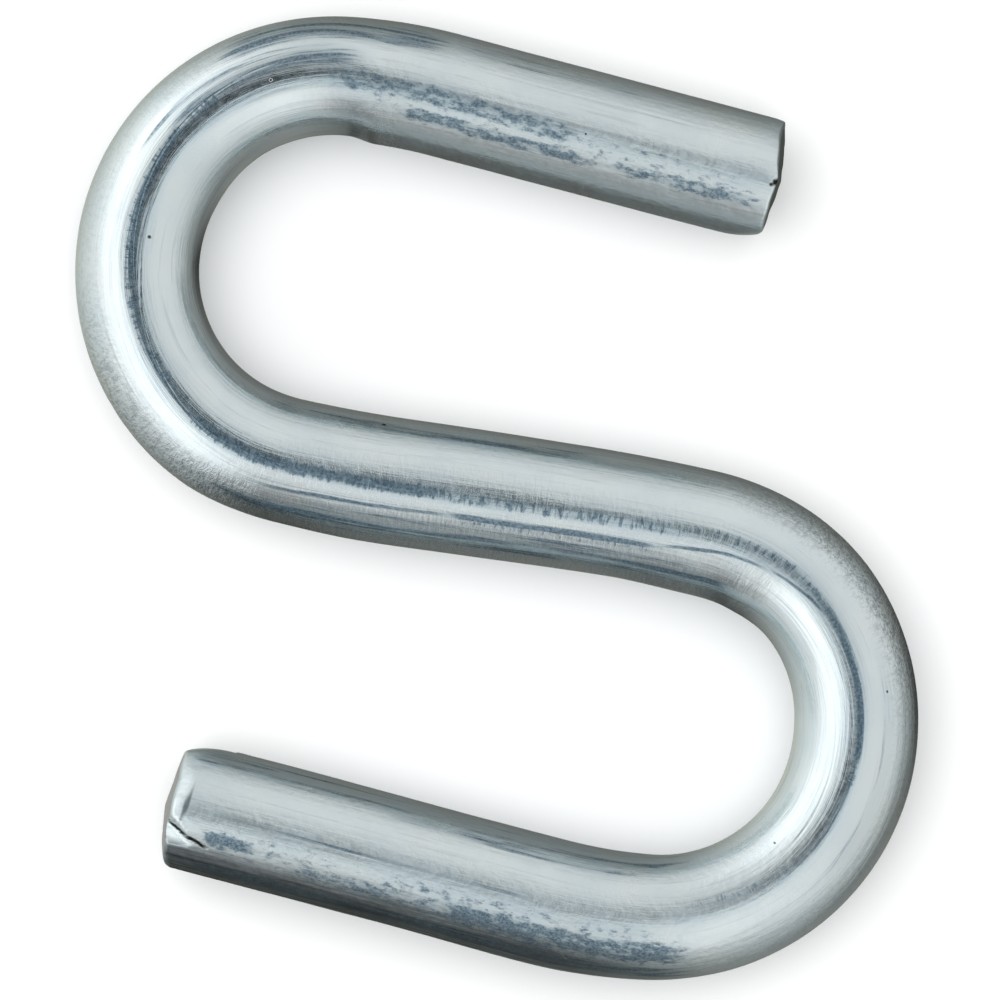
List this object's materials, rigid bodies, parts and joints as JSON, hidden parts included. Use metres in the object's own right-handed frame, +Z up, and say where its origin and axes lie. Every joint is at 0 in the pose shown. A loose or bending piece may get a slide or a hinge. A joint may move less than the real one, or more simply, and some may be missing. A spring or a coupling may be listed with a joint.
{
  "type": "s hook",
  "caption": "Open S hook bent from round steel rod, zinc plated, with a round saddle and a straight free leg on each hook.",
  "frame": {"origin": "on the plane the hook lies on, below the middle of the middle leg, which is the centre of its outline", "axes": "+Z up out of the flat hook, +X along the middle leg towards the lower hook, +Y from the middle leg towards the upper hook"},
  "size_m": [0.0572, 0.0578, 0.0079],
  "materials": {
    "zinc_plated_steel": "bright zinc plating over drawn steel rod, semi-gloss, with drawing lines and light wear"
  },
  "bodies": {
    "root": {"hook": "zinc_plated_steel"}
  },
  "joints": []
}
